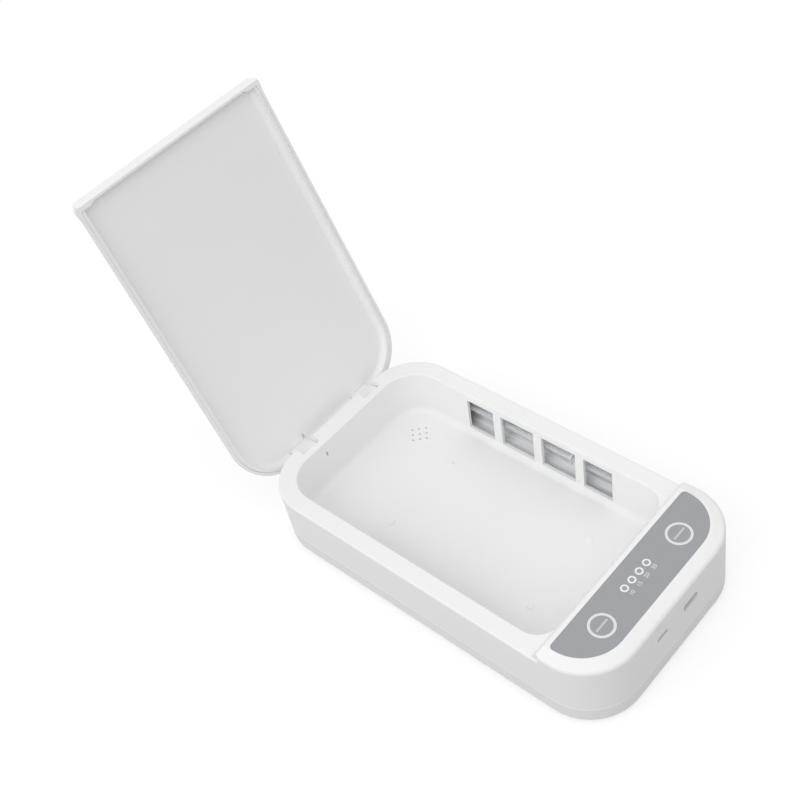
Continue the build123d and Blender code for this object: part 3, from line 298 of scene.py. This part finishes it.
def solder_mask(name):
    """Solder mask on glass epoxy: glossy green over raised copper tracks on a 1.3 mm grid."""
    material, tree, place = new_material(name)
    tracks = add(tree, "TexBrick", {"Vector": place, "Scale": 1 / (2.6 * MM), "Color1": (0, 0, 0, 1),
                                    "Color2": (0.35, 0.35, 0.35, 1), "Mortar": (1, 1, 1, 1),
                                    "Mortar Size": 0.06})
    weave = add(tree, "TexNoise", {"Vector": place, "Scale": 1 / (0.5 * MM), "Detail": 2.0})
    tone = add(tree, "MixRGB", {"Fac": tracks.outputs["Color"], "Color1": rgba(linear("#0E4A2A")),
                                "Color2": rgba(linear("#2F7A4C"))})
    sheen = add(tree, "MapRange", {"Value": weave.outputs["Fac"], "To Min": 0.22, "To Max": 0.36})
    bump = add(tree, "Bump", {"Height": tracks.outputs["Color"], "Strength": 0.3, "Distance": 0.05 * MM})
    shader = add(tree, "BsdfPrincipled", {"Base Color": tone.outputs["Color"],
                                          "Roughness": sheen.outputs["Result"],
                                          "Normal": bump.outputs["Normal"], "IOR": 1.5})
    add(tree, "OutputMaterial", {"Surface": shader.outputs["BSDF"]})
    return material


def soft_rubber(name, colour, speck_mm):
    """Silicone rubber, moulded or extruded: dull, a little dusty, with a fine skin."""
    material, tree, place = new_material(name)
    # The skin's grain is about 0.1 mm on real rubber and drawn coarser so that it shows in the render.
    specks = add(tree, "TexNoise", {"Vector": place, "Scale": 1 / (speck_mm * MM), "Detail": 4.0,
                                    "Roughness": 0.7})
    tone = add(tree, "MixRGB", {"Fac": specks.outputs["Fac"], "Color1": rgba(colour, 0.88),
                                "Color2": rgba(colour, 1.1)})
    bump = add(tree, "Bump", {"Height": specks.outputs["Fac"], "Strength": 0.25, "Distance": 0.05 * MM})
    shader = add(tree, "BsdfPrincipled", {"Base Color": tone.outputs["Color"], "Roughness": 0.75,
                                          "Normal": bump.outputs["Normal"], "IOR": 1.41})
    shader.inputs["Sheen Weight"].default_value = 0.1
    add(tree, "OutputMaterial", {"Surface": shader.outputs["BSDF"]})
    return material


def pressed_felt(name, colour):
    """Pressed wool felt: fibres matted in clumps of 0.3 to 0.5 mm, with a soft sheen at the edge."""
    material, tree, place = new_material(name)
    matting = add(tree, "TexVoronoi", {"Vector": place, "Scale": 1 / (0.5 * MM)})
    fibres = add(tree, "TexNoise", {"Vector": place, "Scale": 1 / (0.3 * MM), "Detail": 5.0,
                                    "Roughness": 0.75})
    tone = add(tree, "MixRGB", {"Fac": fibres.outputs["Fac"], "Color1": rgba(colour, 0.75),
                                "Color2": rgba(colour, 1.1)})
    height = add(tree, "Math", {0: fibres.outputs["Fac"], 1: matting.outputs["Distance"]}, operation="ADD")
    bump = add(tree, "Bump", {"Height": height.outputs["Value"], "Strength": 0.7, "Distance": 0.2 * MM})
    shader = add(tree, "BsdfPrincipled", {"Base Color": tone.outputs["Color"], "Roughness": 0.95,
                                          "Normal": bump.outputs["Normal"]})
    shader.inputs["Sheen Weight"].default_value = 0.4
    add(tree, "OutputMaterial", {"Surface": shader.outputs["BSDF"]})
    return material


def screen_ink(name, colour):
    """Screen-printed ink: a thin matt layer with the mesh's fine unevenness in its tone."""
    material, tree, place = new_material(name)
    # The mesh is about 0.1 mm on the real screen and drawn coarser so that it shows.
    grain = add(tree, "TexNoise", {"Vector": place, "Scale": 1 / (0.25 * MM), "Detail": 2.0})
    tone = add(tree, "MixRGB", {"Fac": grain.outputs["Fac"], "Color1": rgba(colour, 0.9),
                                "Color2": rgba(colour)})
    shader = add(tree, "BsdfPrincipled", {"Base Color": tone.outputs["Color"], "Roughness": 0.5})
    add(tree, "OutputMaterial", {"Surface": shader.outputs["BSDF"]})
    return material


def white_paper():
    """A white paper sweep: the eye sees bright paper with the box's shadow, the box sees a duller floor."""
    material, tree, place = new_material("White paper sweep")
    # The paper's tooth is finer than a millimetre and drawn coarser so that it shows.
    tooth = add(tree, "TexNoise", {"Vector": place, "Scale": 1 / (1.5 * MM), "Detail": 2.0})
    bump = add(tree, "Bump", {"Height": tooth.outputs["Fac"], "Strength": 0.02, "Distance": 0.05 * MM})
    sheet = add(tree, "BsdfDiffuse", {"Color": rgba(linear("#A8A8A8")), "Normal": bump.outputs["Normal"]})
    glow = add(tree, "Emission", {"Color": (1, 1, 1, 1), "Strength": FLOOR_GLOW})
    near = add(tree, "AddShader", {0: sheet.outputs["BSDF"], 1: glow.outputs["Emission"]})
    far = add(tree, "Emission", {"Color": (1, 1, 1, 1), "Strength": 1.0})
    distance = add(tree, "VectorMath", {0: place}, operation="LENGTH")
    fade = add(tree, "MapRange", {"Value": distance.outputs["Value"], "From Min": PLAIN_FROM,
                                  "From Max": PLAIN_TO})
    bright = add(tree, "MixShader", {0: fade.outputs["Result"], 1: near.outputs["Shader"],
                                     2: far.outputs["Emission"]})
    dull = add(tree, "BsdfDiffuse", {"Color": rgba(linear("#A0A0A0"))})
    mix = add(tree, "MixShader", {0: seen_directly(tree), 1: dull.outputs["BSDF"],
                                  2: bright.outputs["Shader"]})
    add(tree, "OutputMaterial", {"Surface": mix.outputs["Shader"]})
    return material


def white_room(strength):
    """A world of even light that shows plain white to the eye."""
    world = bpy.data.worlds.new("Studio")
    world.use_nodes = True
    tree = world.node_tree
    tree.nodes.clear()
    level = add(tree, "MapRange", {"Value": seen_directly(tree), "To Min": strength, "To Max": 1.0})
    sky = add(tree, "Background", {"Color": (1, 1, 1, 1), "Strength": level.outputs["Result"]})
    add(tree, "OutputWorld", {"Surface": sky.outputs["Background"]})
    return world


# ---------------------------------------------------------------- shapes


def finished_mesh(made, name):
    """The mesh of a bmesh whose work is done."""
    mesh = bpy.data.meshes.new(name)
    made.to_mesh(mesh)
    made.free()
    return mesh


def round_bar(name, centre, length, width):
    """A flat bar with round ends, as thick as a layer of ink, along the label."""
    made = bmesh.new()
    rim = []
    for end in (1, -1):
        for step in range(BAR_STEPS + 1):
            angle = math.pi * (step / BAR_STEPS - 0.5)
            x = end * (length / 2 - width / 2 + width / 2 * math.cos(angle))
            y = end * width / 2 * math.sin(angle)
            rim.append(made.verts.new((centre[0] + x, centre[1] + y, centre[2])))
    top = bmesh.ops.extrude_face_region(made, geom=[made.faces.new(rim)])
    for vert in (item for item in top["geom"] if isinstance(item, bmesh.types.BMVert)):
        vert.co.z += INK_T
    bmesh.ops.recalc_face_normals(made, faces=made.faces)
    return finished_mesh(made, name)


def ring(made, x, y, radius, z):
    """A circle of vertices round an upright axis."""
    turns = [2 * math.pi * i / SCREW_STEPS for i in range(SCREW_STEPS)]
    return [made.verts.new((x + radius * math.cos(a), y + radius * math.sin(a), z)) for a in turns]


def cross(made, x, y, scale, z):
    """The outline of a screwdriver's cross, with square inner corners."""
    corners = []
    for quarter in range(4):
        cos, sin = round(math.cos(quarter * math.pi / 2)), round(math.sin(quarter * math.pi / 2))
        for along, across in ((CROSS_REACH, -CROSS_HALF_W), (CROSS_REACH, CROSS_HALF_W),
                              (CROSS_HALF_W, CROSS_HALF_W)):
            dx = scale * (along * cos - across * sin)
            dy = scale * (along * sin + across * cos)
            corners.append(made.verts.new((x + dx, y + dy, z)))
    return corners


def bridge(made, one, other):
    """Faces between two loops with as many vertices each."""
    count = len(one)
    for i in range(count):
        made.faces.new((one[i], one[(i + 1) % count], other[(i + 1) % count], other[i]))


def cross_head_screw(made, x, y, low, high):
    """A countersunk screw whose head faces down, with a tapered cross sunk in it."""
    profile = ((SCREW_HEAD_R, low), (SCREW_SHANK_R, low + SCREW_HEAD_H),
               (SCREW_SHANK_R, high - SCREW_SHANK_R), (SCREW_SHANK_R / 3, high))
    loops = [ring(made, x, y, radius, z) for radius, z in profile]
    for lower, upper in zip(loops, loops[1:]):
        bridge(made, lower, upper)
    made.faces.new(loops[-1])
    mouth = cross(made, x, y, 1.0, low)
    floor = cross(made, x, y, CROSS_TAPER, low + CROSS_DEPTH)
    bridge(made, mouth, floor)
    made.faces.new(floor)
    edges = [made.edges.get((loop[i - 1], loop[i]))
             for loop in (loops[0], mouth) for i in range(len(loop))]
    bmesh.ops.triangle_fill(made, use_beauty=True, edges=edges)


def crossed_screws(name, low, high):
    """The four cover screws, one near each corner of the box that the plain ones fill."""
    made = bmesh.new()
    for side in (-1, 1):
        for end in (-1, 1):
            x = side * (high[0] - SCREW_HEAD_R)
            y = end * (high[1] - SCREW_HEAD_R)
            cross_head_screw(made, x, y, low[2], high[2])
    bmesh.ops.recalc_face_normals(made, faces=made.faces)
    return finished_mesh(made, name)


# ---------------------------------------------------------------- studio


def softbox(scene, name, power, place):
    """A square softbox that faces the box."""
    lamp = bpy.data.lights.new(name, "AREA")
    lamp.shape = "SQUARE"
    lamp.size = SOFTBOX_SIZE
    lamp.energy = power
    obj = bpy.data.objects.new(name, lamp)
    scene.collection.objects.link(obj)
    obj.location = place
    obj.rotation_euler = (-Vector(place)).to_track_quat("-Z", "Y").to_euler()


def photo_camera(scene, lens):
    """The camera, where the photographer's stood."""
    camera_data = bpy.data.cameras.new("camera")
    camera = bpy.data.objects.new("camera", camera_data)
    scene.collection.objects.link(camera)
    forward = Vector(CAMERA_FORWARD).normalized()
    up = Vector(CAMERA_UP).normalized()
    right = forward.cross(up).normalized()
    up = right.cross(forward)
    turn = Matrix((right, up, -forward)).transposed()
    camera.matrix_world = Matrix.Translation(CAMERA_PLACE) @ turn.to_4x4()
    camera_data.lens = lens
    camera_data.sensor_width = SENSOR_W
    camera_data.clip_start = NEAR_CLIP
    scene.camera = camera


# ---------------------------------------------------------------- settings


class SanitizerFinish(bpy.types.PropertyGroup):
    """Colours of the box"""
    abs_white: bpy.props.FloatVectorProperty(
        name="ABS white", description="Colour of the white mouldings", subtype="COLOR", size=3,
        min=0.0, max=1.0, default=linear("#EFEFEF"))
    label_grey: bpy.props.FloatVectorProperty(
        name="Label grey", description="Colour of the printed control label", subtype="COLOR", size=3,
        min=0.0, max=1.0, default=linear("#999B9E"))
    window_grey: bpy.props.FloatVectorProperty(
        name="Window grey", description="Colour of the smoked indicator windows", subtype="COLOR", size=3,
        min=0.0, max=1.0, default=linear("#9C9EA2"))
    foot_grey: bpy.props.FloatVectorProperty(
        name="Foot grey", description="Colour of the rubber feet", subtype="COLOR", size=3,
        min=0.0, max=1.0, default=linear("#B4B5B6"))
    grain: bpy.props.FloatProperty(
        name="Grain", description="Size of the mouldings' pits in millimetres",
        min=0.1, max=2.0, default=0.45)


class SanitizerPrint(bpy.types.PropertyGroup):
    """Marks printed on the label and the buttons"""
    number_height: bpy.props.FloatProperty(
        name="Number height", description="Height of the numbers in front of the indicators",
        subtype="DISTANCE", unit="LENGTH", min=0.0005, max=0.01, default=2.1 * MM)
    bar_length: bpy.props.FloatProperty(
        name="Bar length", description="Length of the printed bar on each button",
        subtype="DISTANCE", unit="LENGTH", min=0.0005, max=0.01, default=8.4 * MM)
    bar_width: bpy.props.FloatProperty(
        name="Bar width", description="Width of the printed bar on each button",
        subtype="DISTANCE", unit="LENGTH", min=0.0002, max=0.005, default=1.1 * MM)


class SanitizerStudio(bpy.types.PropertyGroup):
    """Light and camera"""
    world_level: bpy.props.FloatProperty(
        name="Room light", description="Strength of the even light from all round",
        min=0.0, max=5.0, default=0.76)
    side_level: bpy.props.FloatProperty(
        name="Side light", description="Power of the softbox on the left",
        subtype="POWER", min=0.0, max=200.0, default=12.4)
    front_level: bpy.props.FloatProperty(
        name="Front light", description="Power of the softbox at the control end",
        subtype="POWER", min=0.0, max=200.0, default=5.4)
    back_level: bpy.props.FloatProperty(
        name="Back light", description="Power of the softbox behind the hinges",
        subtype="POWER", min=0.0, max=200.0, default=2.0)
    lens: bpy.props.FloatProperty(
        name="Lens", description="Camera focal length in millimetres",
        min=20.0, max=200.0, default=57.54)


# ---------------------------------------------------------------- pieces


class SANITIZER_OT_mouldings(bpy.types.Operator):
    """Finish the housing, the bottom cover and the lid in grained white ABS"""
    bl_idname = "sanitizer_box.mouldings"
    bl_label = "Finish the Mouldings"

    def execute(self, context):
        finish = context.scene.sanitizer_finish
        colour = list(finish.abs_white)
        white = moulded_plastic("Spark-eroded white ABS", colour, finish.grain, rough=0.5)
        dress(("lid_shell", "lid_liner", "aroma_cup"), white)
        # The housing and cover carry a painted highlight along the seam and painted shade below it.
        parted = moulded_plastic("Spark-eroded white ABS, parted", colour, finish.grain, rough=0.5,
                                 parted=True)
        dress(("main_housing", "bottom_cover"), parted)
        dress(("lamp_clips",),
              moulded_plastic("Moulded white nylon", linear("#E6E6E4"), grain_mm=0.6, rough=0.42))
        return {"FINISHED"}


class SANITIZER_OT_controls(bpy.types.Operator):
    """Finish the label, the buttons and the indicators"""
    bl_idname = "sanitizer_box.controls"
    bl_label = "Finish the Controls"

    def execute(self, context):
        finish = context.scene.sanitizer_finish
        dress(("control_label",),
              plastic_film("Screen-printed polycarbonate", list(finish.label_grey), rough=0.5))
        dress(("button_cap_left", "button_cap_right"),
              moulded_plastic("Polished white ABS", linear("#E0E0E0"), grain_mm=0.4, rough=0.34))
        dress(("button_face_left", "button_face_right"),
              plastic_film("Printed button disc", list(finish.label_grey), rough=0.48))
        dress(("light_pipe",), milky_resin("Milky polycarbonate", linear("#F0F1F2")))
        dress(("indicator_windows",),
              plastic_film("Smoked polycarbonate", list(finish.window_grey), rough=0.3))
        return {"FINISHED"}


class SANITIZER_OT_lamps(bpy.types.Operator):
    """Finish the quartz lamps, their troughs, holders and leads"""
    bl_idname = "sanitizer_box.lamps"
    bl_label = "Finish the Lamps"

    def execute(self, context):
        dress(("uv_lamp_left", "uv_lamp_right"), fused_quartz("Drawn fused quartz"))
        dress(("reflector_left", "reflector_right"),
              rolled_metal("Rolled satin aluminium", linear("#D9DADB"), rough=0.7, along=Y,
                           streak_mm=0.8, contrast=0.2))
        dress(("lamp_holders",), soft_rubber("Moulded white silicone", linear("#DCDCDA"), speck_mm=0.6))
        dress(("lamp_leads",), soft_rubber("Extruded white silicone", linear("#E2E2E0"), speck_mm=0.3))
        return {"FINISHED"}


class SANITIZER_OT_electronics(bpy.types.Operator):
    """Finish the boards and what stands on them"""
    bl_idname = "sanitizer_box.electronics"
    bl_label = "Finish the Electronics"

    def execute(self, context):
        dress(("control_board", "lamp_driver_board"), solder_mask("Solder mask on glass epoxy"))
        dress(("switch_bodies", "switch_plunger_left", "switch_plunger_right", "lid_sensor"),
              moulded_plastic("Moulded black nylon", linear("#2B2B2C"), grain_mm=0.5, rough=0.45))
        dress(("indicator_leds",), milky_resin("Phosphor and resin", linear("#E3DCBE")))
        dress(("driver_transformers",),
              plastic_film("Ferrite and winding tape", linear("#3A362C"), rough=0.6))
        dress(("driver_capacitors",), plastic_film("Shrunk sleeve", linear("#20242F"), rough=0.35))
        # The socket steel is drawn much darker than tin plate: painted shade inside the slots.
        dress(("usb_c_socket", "micro_usb_socket"),
              rolled_metal("Stamped tin-plated steel, darkened for painted shade", linear("#5E5F61"), rough=0.45, along=Y,
                           streak_mm=0.25))
        return {"FINISHED"}


class SANITIZER_OT_hardware(bpy.types.Operator):
    """Finish the pins, screws, magnet, feet and aroma pad"""
    bl_idname = "sanitizer_box.hardware"
    bl_label = "Finish the Hardware"

    def execute(self, context):
        finish = context.scene.sanitizer_finish
        dress(("hinge_pins",),
              rolled_metal("Ground steel rod", linear("#A9AAAC"), rough=0.3, along=X, streak_mm=0.2))
        zinc = rolled_metal("Zinc-plated steel", linear("#A5A7A8"), rough=0.36, along=Z, streak_mm=0.2)
        dress(("cover_screws", "board_screws"), zinc)
        mesh = crossed_screws("cover_screws_crossed", *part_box("cover_screws"))
        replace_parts(new_piece(mesh.name, mesh, zinc, "base"), "cover_screws")
        dress(("lid_magnet",),
              rolled_metal("Nickel-plated magnet", linear("#DADAD8"), rough=0.5, along=Y, streak_mm=0.3))
        dress(("rubber_feet",),
              soft_rubber("Moulded grey silicone", list(finish.foot_grey), speck_mm=0.5))
        dress(("aroma_pad",), pressed_felt("Pressed wool felt", linear("#D8D4CA")))
        return {"FINISHED"}


class SANITIZER_OT_marks(bpy.types.Operator):
    """Print plain numbers in front of the indicators and a bar on each button"""
    bl_idname = "sanitizer_box.marks"
    bl_label = "Print the Marks"

    def execute(self, context):
        settings = context.scene.sanitizer_print
        ink = screen_ink("Screen-printed pale ink", linear("#D8DADC"))
        faint = screen_ink("Screen-printed grey ink", linear("#C6C8CA"))
        low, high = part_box("indicator_windows")
        # The windows are round, so their box less one diameter spans from the first middle to the last.
        intervals = len(FIGURES) - 1
        pitch = (high[0] - low[0] - (high[1] - low[1])) / intervals
        for i, figure in enumerate(FIGURES):
            text = bpy.data.curves.new(f"indicator_number_{i + 1}", "FONT")
            text.body = figure
            text.size = settings.number_height / CAP_SHARE
            text.align_x = "CENTER"
            text.align_y = "CENTER"
            text.offset = FIGURE_BOLD
            text.extrude = INK_T / 2
            text.resolution_u = FIGURE_STEPS
            # Extruded text grows both ways from its plane, so that plane is half a layer up.
            number = new_piece(text.name, text, ink, "base")
            number.location = ((i - intervals / 2) * pitch, low[1] - NUMBER_GAP, high[2] + INK_T / 2)
        for side in ("left", "right"):
            low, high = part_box(f"button_face_{side}")
            centre = ((low[0] + high[0]) / 2, (low[1] + high[1]) / 2, high[2])
            bar = round_bar(f"button_bar_{side}", centre, settings.bar_length, settings.bar_width)
            new_piece(bar.name, bar, faint, f"button_{side}")
        return {"FINISHED"}


class SANITIZER_OT_stage(bpy.types.Operator):
    """Pale floor, soft light and the camera"""
    bl_idname = "sanitizer_box.stage"
    bl_label = "Set the Stage"

    def execute(self, context):
        scene = context.scene
        studio = scene.sanitizer_studio
        half = FLOOR_HALF
        mesh = bpy.data.meshes.new("floor")
        mesh.from_pydata([(-half, -half, 0), (half, -half, 0), (half, half, 0), (-half, half, 0)], [],
                         [(0, 1, 2, 3)])
        mesh.materials.append(white_paper())
        floor = bpy.data.objects.new("floor", mesh)
        scene.collection.objects.link(floor)
        floor.location.z = CAD_BOX[0][2] - FLOOR_GAP
        scene.world = white_room(studio.world_level)
        softbox(scene, "side_softbox", studio.side_level, SIDE_PLACE)
        softbox(scene, "front_softbox", studio.front_level, FRONT_PLACE)
        softbox(scene, "back_softbox", studio.back_level, BACK_PLACE)
        photo_camera(scene, studio.lens)
        scene.view_settings.view_transform = "Standard"
        return {"FINISHED"}


class SANITIZER_PT_sidebar(bpy.types.Panel):
    """Lists the steps that dress the box"""
    bl_idname = "SANITIZER_PT_sidebar"
    bl_label = "Sanitizer Box"
    bl_space_type = "VIEW_3D"
    bl_region_type = "UI"
    bl_category = "Sanitizer Box"

    def draw(self, context):
        for settings in ("sanitizer_finish", "sanitizer_print", "sanitizer_studio"):
            group = getattr(context.scene, settings)
            for name in group.bl_rna.properties.keys():
                if name not in ("rna_type", "name"):
                    self.layout.prop(group, name)
        for step in STEPS:
            self.layout.operator(step.bl_idname)


STEPS = (
    SANITIZER_OT_mouldings,
    SANITIZER_OT_controls,
    SANITIZER_OT_lamps,
    SANITIZER_OT_electronics,
    SANITIZER_OT_hardware,
    SANITIZER_OT_marks,
    SANITIZER_OT_stage,
)
GROUPS = (("sanitizer_finish", SanitizerFinish), ("sanitizer_print", SanitizerPrint),
          ("sanitizer_studio", SanitizerStudio))


def register():
    for name, group in GROUPS:
        bpy.utils.register_class(group)
        setattr(bpy.types.Scene, name, bpy.props.PointerProperty(type=group))
    for step in STEPS:
        bpy.utils.register_class(step)
    bpy.utils.register_class(SANITIZER_PT_sidebar)


def unregister():
    bpy.utils.unregister_class(SANITIZER_PT_sidebar)
    for step in reversed(STEPS):
        bpy.utils.unregister_class(step)
    for name, group in reversed(GROUPS):
        delattr(bpy.types.Scene, name)
        bpy.utils.unregister_class(group)


def main():
    """Run every step in order."""
    register()
    for step in STEPS:
        family, action = step.bl_idname.split(".")
        getattr(getattr(bpy.ops, family), action)()


if __name__ == "__main__":
    main()
